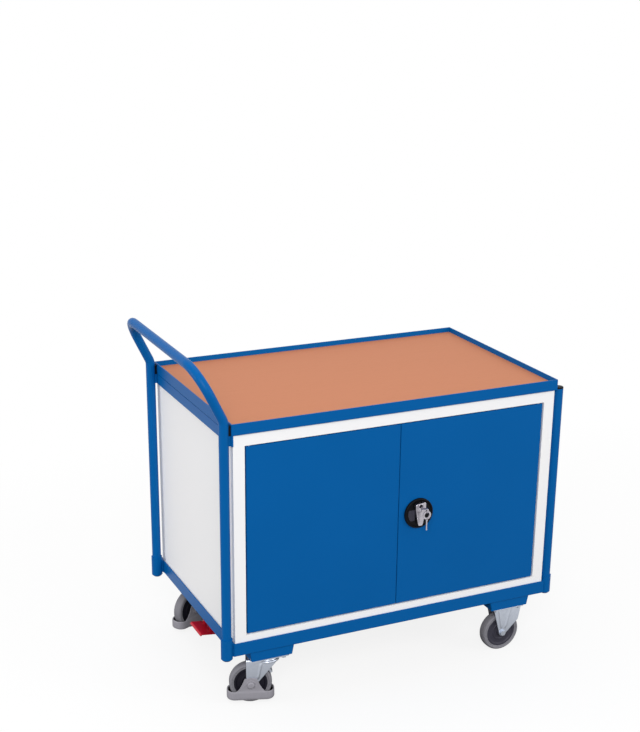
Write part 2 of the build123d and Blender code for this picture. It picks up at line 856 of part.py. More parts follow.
def key():
    """The key in the plug, lying flat: a stem and an oval bow with a slot."""
    stem = Pos(lock_x, (plug_face + bow_y) / 2) * Rectangle(key_stem_width, plug_face - bow_y)
    bow = Pos(lock_x, bow_y) * Ellipse(key_bow_length / 2, key_bow_width / 2)
    slot = Pos(lock_x, bow_y) * SlotOverall(key_slot_length, key_slot_width)
    return Pos(0, 0, key_z) * extrude(stem + bow - slot, key_sheet / 2, both=True)


def key_ring():
    """A wire ring through the key's slot."""
    return Pos(ring_x, ring_y, ring_z) * Rot(Y=90) * Torus(ring_radius, ring_wire)


def spare_key():
    """A second key that hangs on the ring, with its bow facing the front."""
    length = spare_bow + spare_blade
    blade = Pos(ring_x, spare_z - length / 2) * Rectangle(spare_blade_width, length)
    blank = Pos(ring_x, spare_z) * Circle(spare_bow) + blade - Pos(ring_x, spare_z) * Circle(spare_hole)
    return upright(blank, ring_y - key_sheet / 2, ring_y + key_sheet / 2)


# Assembly

saddle = post_saddle()
left_side = side_panel()
post = right_post()
cap = post_cap()
clip_front = shelf_clip(cabinet_front + frame_depth + shelf_front_gap + clip_inset)
clip_rear = shelf_clip(cabinet_back - clip_inset)
left_clips = [clip_front, clip_rear]
sockets = [post_socket(-post_x, socket_low), post_socket(right_post_x, right_socket_low)]

nodes = {
    "top_tray_frame": tray_frame(top_rail, top_tray_low),
    "worktop_board": tray_board(top_tray_low + rail_sheet, top_board),
    "bottom_tray_frame": tray_frame(bottom_rail, bottom_tray_low),
    "bottom_board": tray_board(bottom_tray_low + rail_sheet, bottom_board),
    "post_sockets": group(*sockets, *[mirrored_y(s) for s in sockets]),
    "handle_tube": handle_tube(),
    "right_posts": group(post, mirrored_y(post)),
    "post_caps": group(cap, mirrored_y(cap)),
    "post_saddles": group(saddle, mirrored_y(saddle)),
    "cross_bars": group(cross_bar(), mirrored_x(cross_bar(cross_bar_setback))),
    "left_castor_beam": left_beam(),
    "right_castor_beam": castor_beam(1),
    "castor_bolts": group(*[castor_bolt(x, y) for x, y in castor_bolt_places()]),
    "castor_nuts": group(*[castor_nut(x, y) for x, y in castor_bolt_places()]),
    "cabinet_left_side": left_side,
    "cabinet_right_side": mirrored_x(left_side),
    "cabinet_back": back_panel(),
    "cabinet_roof": cabinet_deck(top_tray_low - cabinet_sheet),
    "cabinet_floor": cabinet_deck(bottom_board_top),
    "cabinet_front_frame": front_frame(),
    "shelf": shelf(),
    "shelf_clips": group(*left_clips, *[mirrored_x(c) for c in left_clips]),
    "hinge_pins": group(*[hinge_pin(x, up) for x in (-hinge_x, hinge_x) for up in (True, False)]),
    "left_door": door_pan(-1),
    "right_door": right_door(),
    "lock_rosette": lock_rosette(),
    "lock_rod_guides": group(lock_guide(1), lock_guide(-1)),
    "lock_grip": lock_grip(),
    "lock_cam": lock_cam(),
    "upper_lock_rod": lock_rod(1),
    "lower_lock_rod": lock_rod(-1),
    "lock_plug": lock_plug(),
    "key": key(),
    "key_ring": key_ring(),
    "spare_key": spare_key(),
    "brake_shaft": brake_shaft(),
    "brake_brackets": group(brake_bracket(-brake_bracket_y), brake_bracket(brake_bracket_y)),
    "brake_pedal": brake_pedal(),
    "swivel_plates": group(*[swivel_plate(y) for y in castor_sides]),
    "king_pins": group(*[Pos(-castor_x, y, 0) * king_pin() for y in castor_sides]),
    "swivel_races": group(*[Pos(-castor_x, y, 0) * swivel_race() for y in castor_sides]),
    "fixed_forks": group(*[fixed_fork(y) for y in castor_sides]),
    "fixed_axles": group(*[fixed_axle_place(y) * wheel_axle(fork_outer) for y in castor_sides]),
}

for end, y, angle in zip(("front", "rear"), castor_sides, swivel_rest_angles):
    place = swivel_place(y, angle)
    fixed_place = fixed_axle_place(y)
    nodes |= {
        f"{end}_swivel_fork": place * swivel_fork(),
        f"{end}_swivel_axle": place * trailing(wheel_axle(guard_outer)),
        f"{end}_wheel_guard": place * trailing(wheel_guard()),
        f"{end}_brake_shoe": place * brake_shoe(),
        f"{end}_swivel_hub": place * trailing(hub()),
        f"{end}_swivel_tyre": place * trailing(tyre()),
        f"{end}_fixed_hub": fixed_place * hub(),
        f"{end}_fixed_tyre": fixed_place * tyre(),
    }

# The frame's origin is the floor point under the middle of the whole object.
boxes = [shape.bounding_box() for shape in nodes.values()]
low_x, high_x = min(b.min.X for b in boxes), max(b.max.X for b in boxes)
low_y, high_y = min(b.min.Y for b in boxes), max(b.max.Y for b in boxes)
to_origin = Pos(-(low_x + high_x) / 2, -(low_y + high_y) / 2, 0)

os.makedirs("parts", exist_ok=True)
for name, shape in nodes.items():
    export_step(to_origin * shape, f"parts/{name}.step")
print("nodes", len(nodes), "origin shift", to_origin.position, "size", high_x - low_x, high_y - low_y)
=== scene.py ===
# %% [markdown]
# # A rolling workbench, dressed
# The frame holds the bench's real pieces at their real size: rails, posts, cabinet, doors, lock, brake
# and castors. This lesson never moves them. It gives each one the finish that it has in the workshop,
# and swaps the small pressed and moulded pieces for fuller meshes that stand in the same places.

# %% Load the frame
import json
import math

import bmesh
import bpy
from mathutils import Matrix, Vector


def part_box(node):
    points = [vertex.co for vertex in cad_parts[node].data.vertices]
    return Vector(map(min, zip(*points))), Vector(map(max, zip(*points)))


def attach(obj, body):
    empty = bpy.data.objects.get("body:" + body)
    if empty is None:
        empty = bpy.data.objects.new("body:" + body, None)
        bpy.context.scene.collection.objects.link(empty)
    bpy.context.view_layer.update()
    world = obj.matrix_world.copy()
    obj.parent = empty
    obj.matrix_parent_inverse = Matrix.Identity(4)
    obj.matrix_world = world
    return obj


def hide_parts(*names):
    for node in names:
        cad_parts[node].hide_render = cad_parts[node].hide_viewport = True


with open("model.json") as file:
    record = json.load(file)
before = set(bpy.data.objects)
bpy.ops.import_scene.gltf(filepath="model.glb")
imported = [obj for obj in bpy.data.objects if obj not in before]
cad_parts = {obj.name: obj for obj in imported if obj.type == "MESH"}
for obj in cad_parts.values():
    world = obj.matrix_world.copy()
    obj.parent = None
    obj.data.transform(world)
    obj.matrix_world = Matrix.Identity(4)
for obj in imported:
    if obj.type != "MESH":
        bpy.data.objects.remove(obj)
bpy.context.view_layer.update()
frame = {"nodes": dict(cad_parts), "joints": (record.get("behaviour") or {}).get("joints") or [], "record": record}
nodes = frame["nodes"]
joints = {joint["name"]: joint for joint in frame["joints"]}
slots = {part["node"]: part["material_slot"] for part in frame["record"]["subparts"]}
mm = 0.001

# %% [markdown]
# ## Camera
# The photograph was taken from the left, in front of the doors and a little above the worktop. A camera
# can be turned by hand until the picture looks right, but here its place and angles were solved from the
# corners of the trays, so they are written as plain numbers. The lens follows from the focal length in
# pixels, because a camera's sensor width spans the longer side of the picture. The lens looked at a point
# below the picture's middle, as in a cropped photograph, and the vertical shift stands for that.

# %% Camera
photo_height = 732
focal_length = 1398.9
lens_axis_row = 451.4
sensor_width = 36.0
camera_place = Vector((-1.7472, -3.5686, 2.0928))
yaw, pitch, roll = (math.radians(angle) for angle in (25.03, 20.19, 0.59))

forward = Vector((math.sin(yaw) * math.cos(pitch), math.cos(yaw) * math.cos(pitch), -math.sin(pitch)))
level_right = Vector((math.cos(yaw), -math.sin(yaw), 0))
level_up = level_right.cross(forward)
right = level_right * math.cos(roll) + level_up * math.sin(roll)
up = level_up * math.cos(roll) - level_right * math.sin(roll)

camera = bpy.data.objects.new("camera", bpy.data.cameras.new("camera"))
bpy.context.scene.collection.objects.link(camera)
camera.data.sensor_width = sensor_width
camera.data.lens = focal_length * sensor_width / photo_height
camera.data.shift_y = (lens_axis_row - photo_height / 2) / photo_height
camera.matrix_world = Matrix.Translation(camera_place) @ Matrix((right, up, -forward)).transposed().to_4x4()
bpy.context.scene.camera = camera
print("camera lens", round(camera.data.lens, 2), "mm")

# %% [markdown]
# ## Finishes: three helpers
# Every finish below is a node tree on one Principled shader. Colours are easiest to think of as the hex
# values that a paint chart gives, and the shader wants linear light, so one function turns one into the
# other. A second function adds a node with its settings and links, which keeps each recipe short, and a
# third one starts a finish with what all of them share.

# %% Colour and node helpers
def linear(code):
    """An sRGB hex colour as linear red, green, blue and alpha."""
    channels = [int(code[i:i + 2], 16) / 255 for i in (1, 3, 5)]
    return tuple(c / 12.92 if c <= 0.04045 else ((c + 0.055) / 1.055) ** 2.4 for c in channels) + (1.0,)


def add(tree, kind, links, **settings):
    """One node: its settings, then a value or another node's output for each input."""
    node = tree.nodes.new(kind)
    for name, value in settings.items():
        setattr(node, name, value)
    for name, value in links.items():
        if isinstance(value, bpy.types.NodeSocket):
            tree.links.new(value, node.inputs[name])
        else:
            node.inputs[name].default_value = value
    return node


def start_finish(name, **inputs):
    """A new material: its tree, its shader and the place on the object in metres."""
    material = bpy.data.materials.new(name)
    material.use_nodes = True
    tree = material.node_tree
    shader = tree.nodes["Principled BSDF"]
    for socket, value in inputs.items():
        shader.inputs[socket.replace("_", " ")].default_value = value
    place = add(tree, "ShaderNodeTexCoord", {}).outputs["Object"]
    return material, tree, shader, place


COLOUR_A, COLOUR_B, COLOUR_OUT = 6, 7, 2
print("middle grey is", [round(c, 3) for c in linear("#808080")])

# %% [markdown]
# ## Powder coat
# Rails, posts, doors and cabinet are sheet steel and tube, sprayed with dry polyester powder and baked.
# The skin is even in colour and satin, with the fine ripple that painters call orange peel. The real
# ripple is about 1.5 mm across, finer than a pixel of the picture, so it is drawn at 5 mm to show at all.
# A slow drift between two near colours keeps the wide doors from looking like flat fills.

# %% Powder coat
peel_width = 5 * mm
peel_height = 0.03 * mm
drift_width = 260 * mm


def powder_coat(name, colour, drift, roughness, reflection):
    """Baked powder on steel: even colour, satin gloss, slight ripple."""
    material, tree, shader, place = start_finish(name, Roughness=roughness, Specular_IOR_Level=reflection)
    cloud = add(tree, "ShaderNodeTexNoise", {"Vector": place, "Scale": 1 / drift_width, "Detail": 3.0})
    tone = add(tree, "ShaderNodeMix", {0: cloud.outputs["Fac"], COLOUR_A: linear(colour),
                                       COLOUR_B: linear(drift)}, data_type="RGBA")
    tree.links.new(tone.outputs[COLOUR_OUT], shader.inputs["Base Color"])
    peel = add(tree, "ShaderNodeTexNoise", {"Vector": place, "Scale": 1 / peel_width, "Detail": 2.0})
    ripple = add(tree, "ShaderNodeBump", {"Height": peel.outputs["Fac"], "Distance": peel_height,
                                          "Strength": 0.6})
    tree.links.new(ripple.outputs["Normal"], shader.inputs["Normal"])
    return material


finishes = {
    "blue_powder_coat": powder_coat("blue_powder_coat", "#045b9f", "#065fa6", 0.32, 0.065),
    "white_powder_coat": powder_coat("white_powder_coat", "#fdfcfd", "#fafafb", 0.42, 0.2),
    "red_powder_coat": powder_coat("red_powder_coat", "#c8142e", "#b90f28", 0.36, 0.3),
}
print("powder coats:", sorted(finishes))

# %% [markdown]
# ## Beech board
# Both boards are wood panels faced with a beech-toned laminate. From a few steps it is a plain warm tan,
# and close up there are soft streaks along the length and short dark flecks, the pores of beech, which
# are about 0.6 mm wide and several millimetres long. One noise, stretched along X, makes the streaks, a
# finer one makes the flecks, and a wide one mottles the whole board.

# %% Beech board
streak_length, streak_width = 240 * mm, 7 * mm
fleck_length, fleck_width = 16 * mm, 1.6 * mm
mottle_width = 130 * mm


def beech_laminate():
    """Warm tan panel with streaks and flecks along the length."""
    material, tree, shader, place = start_finish("beech_laminate", Roughness=0.55, Specular_IOR_Level=0.25)
    across = (1 / streak_length, 1 / streak_width, 1 / streak_width)
    stretched = add(tree, "ShaderNodeMapping", {"Vector": place, "Scale": across})
    streak = add(tree, "ShaderNodeTexNoise", {"Vector": stretched.outputs["Vector"], "Scale": 1.0,
                                              "Detail": 4.0, "Roughness": 0.6})
    short = (1 / fleck_length, 1 / fleck_width, 1 / fleck_width)
    pores = add(tree, "ShaderNodeMapping", {"Vector": place, "Scale": short})
    fleck = add(tree, "ShaderNodeTexNoise", {"Vector": pores.outputs["Vector"], "Scale": 1.0, "Detail": 1.0})
    dark = add(tree, "ShaderNodeMapRange", {"Value": fleck.outputs["Fac"], "From Min": 0.62, "From Max": 0.8,
                                            "To Max": 0.28})
    mottle = add(tree, "ShaderNodeTexNoise", {"Vector": place, "Scale": 1 / mottle_width, "Detail": 2.0})
    grain = add(tree, "ShaderNodeMix", {0: streak.outputs["Fac"], COLOUR_A: linear("#c8825d"),
                                        COLOUR_B: linear("#c27a54")}, data_type="RGBA")
    patch = add(tree, "ShaderNodeMix", {0: mottle.outputs["Fac"], COLOUR_A: grain.outputs[COLOUR_OUT],
                                        COLOUR_B: linear("#c67e5a")}, data_type="RGBA")
    speck = add(tree, "ShaderNodeMix", {0: dark.outputs["Result"], COLOUR_A: patch.outputs[COLOUR_OUT],
                                        COLOUR_B: linear("#9d613a")}, data_type="RGBA")
    tree.links.new(speck.outputs[COLOUR_OUT], shader.inputs["Base Color"])
    relief = add(tree, "ShaderNodeBump", {"Height": fleck.outputs["Fac"], "Distance": 0.05 * mm,
                                          "Strength": 0.4})
    tree.links.new(relief.outputs["Normal"], shader.inputs["Normal"])
    return material


finishes["beech_laminate"] = beech_laminate()
print("board streaks", streak_width / mm, "mm wide")

# %% [markdown]
# ## Bare metals
# Castor forks, plates, bolts and lock rods are pressed steel with a bright zinc plating: grey with a cool
# tint and a soft, cloudy gloss. The lock's grip and keys are zinc castings with a satin nickel coat,
# smoother and warmer. Both are metals, so they keep the default IOR, and their look comes from how the
# roughness wanders over patches some 12 mm wide, with fine draw marks on top.

# %% Bare metals
cloud_width = 12 * mm
draw_mark = 1.2 * mm


def plated_metal(name, colour, shade, smooth, rough):
    """A plated metal whose gloss changes softly from patch to patch."""
    material, tree, shader, place = start_finish(name, Metallic=1.0)
    cloud = add(tree, "ShaderNodeTexNoise", {"Vector": place, "Scale": 1 / cloud_width, "Detail": 4.0})
    tone = add(tree, "ShaderNodeMix", {0: cloud.outputs["Fac"], COLOUR_A: linear(colour),
                                       COLOUR_B: linear(shade)}, data_type="RGBA")
    gloss = add(tree, "ShaderNodeMapRange", {"Value": cloud.outputs["Fac"], "From Min": 0.3, "From Max": 0.7,
                                             "To Min": smooth, "To Max": rough})
    marks = add(tree, "ShaderNodeTexNoise", {"Vector": place, "Scale": 1 / draw_mark, "Detail": 2.0})
    relief = add(tree, "ShaderNodeBump", {"Height": marks.outputs["Fac"], "Distance": 0.03 * mm,
                                          "Strength": 0.35})
    tree.links.new(tone.outputs[COLOUR_OUT], shader.inputs["Base Color"])
    tree.links.new(gloss.outputs["Result"], shader.inputs["Roughness"])
    tree.links.new(relief.outputs["Normal"], shader.inputs["Normal"])
    return material


finishes["zinc_plated_steel"] = plated_metal("zinc_plated_steel", "#c9cfda", "#b4bac6", 0.32, 0.46)
finishes["nickel_plated_zinc"] = plated_metal("nickel_plated_zinc", "#c4c0c6", "#aca8b0", 0.22, 0.34)
print("metals added")

# %% [markdown]
# ## Plastics and rubber
# Caps, spacers and the lock's rosette are black moulded plastic, the castors' foot guards are grey nylon,
# and the wheel centres dark grey polypropylene. The swivel castors' centres take a darker copy of it, almost
# black: painted shade from the guards round them. All came out of spark-eroded moulds, which leave a fine
# even texture and a dull gloss. The tyres are grey non-marking rubber: duller still, with the pale bloom and
# dust that rubber picks up on a workshop floor.

# %% Plastics and rubber
mould_grain = 1.5 * mm
dust_width = 22 * mm
gloss_drift = 0.06


def moulded(name, colour, shade, roughness, reflection):
    """A moulded plastic or rubber with a fine texture and a cloudy bloom."""
    material, tree, shader, place = start_finish(name, Specular_IOR_Level=reflection)
    bloom = add(tree, "ShaderNodeTexNoise", {"Vector": place, "Scale": 1 / dust_width, "Detail": 5.0})
    tone = add(tree, "ShaderNodeMix", {0: bloom.outputs["Fac"], COLOUR_A: linear(colour),
                                       COLOUR_B: linear(shade)}, data_type="RGBA")
    gloss = add(tree, "ShaderNodeMapRange", {"Value": bloom.outputs["Fac"], "From Min": 0.3, "From Max": 0.7,
                                             "To Min": roughness - gloss_drift,
                                             "To Max": roughness + gloss_drift})
    grain = add(tree, "ShaderNodeTexNoise", {"Vector": place, "Scale": 1 / mould_grain, "Detail": 1.0})
    relief = add(tree, "ShaderNodeBump", {"Height": grain.outputs["Fac"], "Distance": 0.04 * mm,
                                          "Strength": 0.5})
    tree.links.new(tone.outputs[COLOUR_OUT], shader.inputs["Base Color"])
    tree.links.new(gloss.outputs["Result"], shader.inputs["Roughness"])
    tree.links.new(relief.outputs["Normal"], shader.inputs["Normal"])
    return material


finishes["black_plastic"] = moulded("black_plastic", "#0a0b0d", "#101114", 0.42, 0.1)
finishes["grey_plastic"] = moulded("grey_plastic", "#9f9da5", "#98969e", 0.5, 0.3)
finishes["dark_grey_plastic"] = moulded("dark_grey_plastic", "#36353f", "#3f3e4a", 0.45, 0.2)
# A darker copy of the dark grey plastic: painted shade on the swivel castors' wheel centres.
finishes["shaded_hub_plastic"] = moulded("shaded_hub_plastic", "#1a1921", "#21202a", 0.45, 0.12)
finishes["grey_rubber"] = moulded("grey_rubber", "#79787f", "#89888f", 0.62, 0.3)
print("finishes:", len(finishes))

# %% [markdown]
# ## Dress the frame's own pieces
# Straight sheet, tube and board already have their true shape in the frame, so they only need a finish.
# Real sheet never has a razor edge: a narrow bevel, set as a modifier on the trays, beams, doors, cabinet
# frame, cross bars and post sockets, gives their fold and cut edges the thin highlight that tells the eye it
# is metal. The points of the mesh stay as they came.

# %% Dress the frame
edge_round = 0.6 * mm
edge_angle = math.radians(35)


def ease_edges(made, width, segments=2):
    """A narrow bevel on the sharp edges only."""
    bevel = made.modifiers.new("eased_edges", "BEVEL")
    bevel.width = width
    bevel.segments = segments
    bevel.limit_method = "ANGLE"
    bevel.angle_limit = edge_angle


eased = ["top_tray_frame", "bottom_tray_frame", "left_castor_beam", "right_castor_beam", "left_door",
         "right_door", "cabinet_front_frame", "cross_bars", "post_sockets"]
for name, node in nodes.items():
    node.data.materials.clear()
    node.data.materials.append(finishes[slots[name]])
    if name in eased:
        ease_edges(node, edge_round)
print("dressed", len(nodes), "nodes,", len(eased), "with eased edges")

# %% [markdown]
# ## Helpers for new pieces
# Pressed, turned and moulded pieces come from three moves: turn an outline about an axis, push an outline
# through a thickness, or stretch a sheet through rows of points. They are drawn in millimetres round their
# own centre, then scaled and placed in the frame. A Solidify modifier gives a sheet its thickness.

# %% Drawing helpers
edge_share = 0.45


def ease(value, start, end):
    """Zero before start, one after end and smooth in between."""
    share = min(max((value - start) / (end - start), 0.0), 1.0)
    return share * share * (3 - 2 * share)


def soften(outline, radius, steps=4):
    """A closed outline with short curves at its corners."""
    points = []
    for i, corner in enumerate(outline):
        here = Vector(corner)
        back, ahead = Vector(outline[i - 1]) - here, Vector(outline[(i + 1) % len(outline)]) - here
        reach = min(radius, edge_share * back.length, edge_share * ahead.length)
        start, end = here + back.normalized() * reach, here + ahead.normalized() * reach
        for step in range(steps + 1):
            t = step / steps
            points.append(tuple(start * (1 - t) ** 2 + here * 2 * t * (1 - t) + end * t ** 2))
    return points


def both_sides(half):
    """A closed outline from the half that lies on one side of the middle."""
    return half + [(r, -y) for r, y in reversed(half)]


def lathe(outline, turns=96):
    """A closed outline of (radius, y) points, turned about the Y axis."""
    bm = bmesh.new()
    rings = []
    for step in range(turns):
        angle = 2 * math.pi * step / turns
        rings.append([bm.verts.new((r * math.cos(angle), y, r * math.sin(angle))) for r, y in outline])
    for ring, following in zip(rings, rings[1:] + rings[:1]):
        for i in range(len(outline)):
            j = (i + 1) % len(outline)
            bm.faces.new((ring[i], ring[j], following[j], following[i]))
    return bm


def slab(outline, low, high):
    """An outline of (x, z) points pushed along Y from low to high."""
    bm = bmesh.new()
    near, far = [[bm.verts.new((x, y, z)) for x, z in outline] for y in (low, high)]
    bm.faces.new(near)
    bm.faces.new(list(reversed(far)))
    for i in range(len(outline)):
        j = (i + 1) % len(outline)
        bm.faces.new((near[j], near[i], far[i], far[j]))
    return bm


def stretched(rows, closed=False):
    """A sheet of quads through rows of points."""
    bm = bmesh.new()
    grid = [[bm.verts.new(point) for point in row] for row in rows]
    columns = len(rows[0]) if closed else len(rows[0]) - 1
    for low, high in zip(grid, grid[1:]):
        for i in range(columns):
            j = (i + 1) % len(low)
            bm.faces.new((low[i], low[j], high[j], high[i]))
    return bm


def round_bar(first, second, steps=16):
    """The outline stretched round two circles, each given as x, z and radius."""
    (x1, z1, r1), (x2, z2, r2) = first, second
    along = math.atan2(z2 - z1, x2 - x1)
    lean = math.acos((r1 - r2) / math.hypot(x2 - x1, z2 - z1))
    arcs = ((x1, z1, r1, along + lean, 2 * math.pi - 2 * lean), (x2, z2, r2, along - lean, 2 * lean))
    points = []
    for x, z, radius, start, sweep in arcs:
        for step in range(steps + 1):
            angle = start + sweep * step / steps
            points.append((x + radius * math.cos(angle), z + radius * math.sin(angle)))
    return points


def moved(bm, matrix):
    bm.transform(matrix)
    return bm


def joined(first, *others):
    """Several drawings as one mesh."""
    for other in others:
        loose = bpy.data.meshes.new("loose")
        other.to_mesh(loose)
        other.free()
        first.from_mesh(loose)
        bpy.data.meshes.remove(loose)
    return first


laid_flat = Matrix.Rotation(math.pi / 2, 4, "X")
in_frame = Matrix.Identity(4)
print("helpers ready")

# %% Piece helpers
cut_round = 0.5


def piece(name, bm, place, body, slot, *stands_for, crease=38):
    """A drawing in millimetres becomes a piece: placed, dressed and riding on a body."""
    bm.transform(place @ Matrix.Scale(mm, 4))
    bmesh.ops.recalc_face_normals(bm, faces=bm.faces)
    mesh = bpy.data.meshes.new(name)
    bm.to_mesh(mesh)
    bm.free()
    mesh.materials.append(finishes[slot])
    mesh.shade_smooth()
    mesh.set_sharp_from_angle(angle=math.radians(crease))
    made = bpy.data.objects.new(name, mesh)
    bpy.context.scene.collection.objects.link(made)
    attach(made, body)
    if stands_for:
        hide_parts(*stands_for)
    return made


def thicken(made, thickness):
    """Gives a sheet its thickness, half to each side."""
    solid = made.modifiers.new("sheet_thickness", "SOLIDIFY")
    solid.thickness = thickness * mm
    solid.offset = 0
    solid.use_even_offset = True
    ease_edges(made, cut_round * mm)


print("pieces can be made")

# %% [markdown]
# ## Weld tabs
# Below each black spacer a short steel tab joins the left post to the flat bar under the rail. It is
# almost as wide as the spacer and as tall as the bar, so its place is read from both boxes in the frame.

# %% Weld tabs
spacer_low, spacer_high = (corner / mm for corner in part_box("post_saddles"))
bar_low, bar_high = (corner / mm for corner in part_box("cross_bars"))
tab_width = 16.0
tab_reach = 6.0
tab_gap = 1.0


def weld_tab(y):
    """A small block between post and bar."""
    out, low = bar_low.x - tab_reach, bar_low.z + tab_gap
    outline = [(out, low), (bar_low.x, low), (bar_low.x, bar_high.z), (out, bar_high.z)]
    return slab(outline, y - tab_width / 2, y + tab_width / 2)


tab_inset = tab_width / 2 + tab_gap
tabs = joined(weld_tab(spacer_low.y + tab_inset), weld_tab(spacer_high.y - tab_inset))
piece("weld_tabs", tabs, in_frame, "root", "blue_powder_coat")
print("weld tabs", round(bar_high.z - bar_low.z, 1), "mm tall")

# %% [markdown]
# ## Wheels
# Each castor has a grey rubber tyre on a dark moulded centre. Turned pieces suit the lathe helper: the
# tyre's outline has a slightly crowned tread, round shoulders and a moulded groove in each wall, and the
# centre is a shallow dish with a raised bead. The wheel's joint says where its middle and axle are.

# %% Wheels
wheel_names = [f"{end}_{kind}" for end in ("front", "rear") for kind in ("swivel", "fixed")]
wheel_radius = joints["front_fixed_wheel_spin"]["pos_m"][2] / mm
wheel_turns = 128


def wheel_place(name):
    """Wheel centre, with X ahead, Y along the axle and Z up."""
    joint = joints[f"{name}_wheel_spin"]
    across, up_way = Vector(joint["axis"]), Vector((0, 0, 1))
    turn = Matrix((across.cross(up_way), across, up_way)).transposed().to_4x4()
    return Matrix.Translation(joint["pos_m"]) @ turn


def tyre():
    """Crowned tread, round shoulders and a groove in each wall."""
    half = [(wheel_radius - 13.9, 13.6), (wheel_radius - 11.6, 14.6), (wheel_radius - 10.6, 13.7),
            (wheel_radius - 9.2, 13.7), (wheel_radius - 8.2, 15.2), (wheel_radius - 5.0, 15.6),
            (wheel_radius - 1.4, 12.4), (wheel_radius - 0.2, 7.5), (wheel_radius, 2.0)]
    return lathe(soften(both_sides(half), 1.6), wheel_turns)


def wheel_centre():
    """Boss, dish with a bead, and rim."""
    half = [(5.1, 18.8), (11.5, 18.8), (13.6, 17.4), (15.0, 11.6), (23.5, 10.4), (25.0, 11.8),
            (27.4, 11.8), (29.0, 10.2), (40.0, 10.0), (43.0, 13.2), (48.5, 13.6)]
    return lathe(soften(both_sides(half), 0.8), wheel_turns)


for name in wheel_names:
    place, body = wheel_place(name), f"{name}_wheel"
    piece(f"{name}_tyre_rubber", tyre(), place, body, "grey_rubber", f"{name}_tyre", crease=60)
    centre = piece(f"{name}_wheel_centre", wheel_centre(), place, body, "dark_grey_plastic",
                   f"{name}_hub", crease=50)
    # On the swivel castors the centres take a darker copy of their plastic: painted shade from the guards.
    if "swivel" in name:
        centre.data.materials[0] = finishes["shaded_hub_plastic"]
print("wheels", wheel_names)

# %% [markdown]
# ## Castor forks
# A fork is pressed from 3 mm sheet. Its legs are wide at the top, taper to a round foot at the axle, and
# have shallow pressed ribs that stop them from flexing. A box with a bevel would miss the ribs, so each
# leg is a stretched sheet: rows from the foot upwards, each as wide as the leg is there, with the rib
# pushed out of the surface. On the swivel castors the sheet goes on over the crown and down the other leg.

# %% Castor forks
fork_sheet = 3.0
leg_middle = 21.0
bend_radius = 6.0
leg_columns, leg_steps, foot_steps = 36, 24, 7
foot_tip = 1.0
rib_half_width, rib_flat = 4.5, 0.5
rib_start, rib_end = 10.0, 4.0


def edge_at(height, foot, side, points):
    """Where one edge of a leg is: on the round foot, then on lines through points going up."""
    x, z = points[0]
    angle = math.atan2(z, x) + side * math.acos(foot / math.hypot(x, z))
    way = [(foot * math.cos(angle), foot * math.sin(angle))] + points
    if height <= way[0][1]:
        return -side * math.sqrt(max(foot ** 2 - height ** 2, foot_tip ** 2))
    for (x1, z1), (x2, z2) in zip(way, way[1:]):
        if height <= z2:
            return x1 + (x2 - x1) * (height - z1) / (z2 - z1)
    return way[-1][0]


def rib_height(x, height, ribs):
    """How far the pressed ribs stand out of a leg at one point."""
    rise = 0.0
    for foot_x, top_x, low, high, depth in ribs:
        centre = foot_x + (top_x - foot_x) * (height - low) / (high - low)
        along = ease(height, low, low + rib_start) * (1 - ease(height, high - rib_end, high))
        rise += depth * along * (1 - ease(abs(x - centre), rib_flat, rib_half_width))
    return rise


def leg_rows(foot, back, front, ribs, side):
    """Rows of one leg, from the foot up to the last points of its two edges."""
    heights = [-foot * math.cos(math.pi / 2 * step / foot_steps) for step in range(foot_steps)]
    heights += [back[-1][1] * step / leg_steps for step in range(leg_steps + 1)]
    rows = []
    for height in heights:
        low, high = edge_at(height, foot, 1, back), edge_at(height, foot, -1, front)
        xs = [low + (high - low) * i / leg_columns for i in range(leg_columns + 1)]
        rows.append([(x, side * (leg_middle + rib_height(x, height, ribs)), height) for x in xs])
    return rows


swivel_place = joints["front_castor_swivel"]["pos_m"]
trail = (Vector(swivel_place) - Vector(joints["front_swivel_wheel_spin"]["pos_m"])).xy.length / mm
crown_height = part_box("front_swivel_fork")[1].z / mm - wheel_radius - fork_sheet / 2
swivel_foot, swivel_back, swivel_front = 13.0, -13.5, trail + 26.0
swivel_ribs = [(20.0, 30.0, 14.0, 68.0, 1.7)]
crown_steps = 12
seat_radius, pin_hole = 36.0, 11.5


def swivel_fork():
    """Leg, crown and leg in one bent sheet."""
    start = crown_height - bend_radius
    edges = [(swivel_back, start)], [(swivel_front, start)]
    near = leg_rows(swivel_foot, *edges, swivel_ribs, -1)
    far = leg_rows(swivel_foot, *edges, swivel_ribs, 1)
    xs = [point[0] for point in near[-1]]
    crown = []
    for step in range(1, crown_steps):
        angle = math.pi * step / crown_steps
        side = -1 if step <= crown_steps / 2 else 1
        y = side * (leg_middle - bend_radius) - bend_radius * math.cos(angle)
        crown.append([(x, y, start + bend_radius * math.sin(angle)) for x in xs])
    return stretched(near + crown + list(reversed(far)))


def crown_disc():
    """The round seat of the bearing, with a rolled edge."""
    rim = seat_radius
    outline = [(pin_hole, 2.0), (rim - 5, 2.0), (rim - 1.5, 1.2), (rim, -1.0), (rim, -4.6), (rim - 2.6, -4.6),
               (rim - 3.2, -2.0), (pin_hole, -2.0)]
    return moved(lathe(soften(outline, 1.0)), Matrix.Translation((trail, 0, crown_height)) @ laid_flat)


for end in ("front", "rear"):
    place, body = wheel_place(f"{end}_swivel"), f"{end}_swivel"
    fork = piece(f"{end}_pressed_fork", swivel_fork(), place, body, "zinc_plated_steel", f"{end}_swivel_fork")
    thicken(fork, fork_sheet)
    piece(f"{end}_swivel_seat", crown_disc(), place, body, "zinc_plated_steel")
print("swivel forks, trail", round(trail, 1), "mm")

# %% [markdown]
# The fixed forks are two such legs under a flat plate, flared a little where they meet it.

